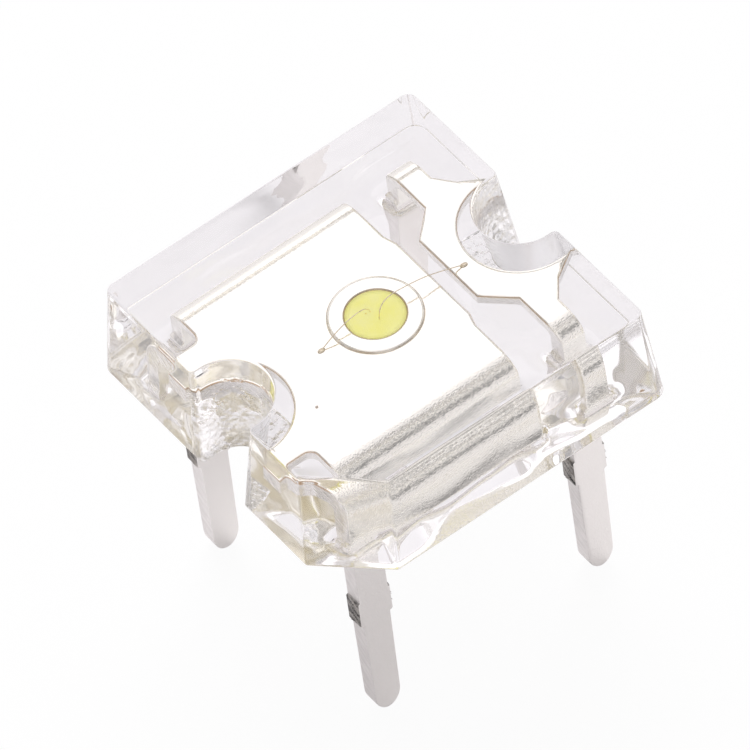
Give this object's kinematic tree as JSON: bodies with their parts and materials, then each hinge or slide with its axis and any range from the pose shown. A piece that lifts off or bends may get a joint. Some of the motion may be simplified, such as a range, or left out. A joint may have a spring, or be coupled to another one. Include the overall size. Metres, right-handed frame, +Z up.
{
  "type": "piranha led",
  "caption": "Clear square flat-topped light emitting diode with a yellow-filled cup in a folded metal frame and flat pins at its corners.",
  "frame": {"origin": "on the plane that the four pin tips stand on, under the middle of the square body", "axes": "+Z is up, out of the flat light face; the two frames fold down at the front and back, +Y and -Y; the wide frame with the cup is on the -X side and the post frame on the +X side; the corner that is cut off as the polarity mark is at -X, -Y"},
  "size_m": [0.0076, 0.0076, 0.0075],
  "materials": {
    "clear_epoxy": "clear cast epoxy, glossy",
    "plated_frame": "silver plated, bright on the flats",
    "chip": "polished crystal",
    "glue": "clear glue",
    "phosphor": "fine grained, slightly translucent",
    "gold_wire": "bright drawn gold"
  },
  "bodies": {
    "root": {"epoxy_body": "clear_epoxy", "cup_leadframe": "plated_frame", "post_leadframe": "plated_frame", "led_chip": "chip", "die_attach": "glue", "phosphor_fill": "phosphor", "bond_wire_plate": "gold_wire", "bond_wire_post": "gold_wire"}
  },
  "joints": []
}
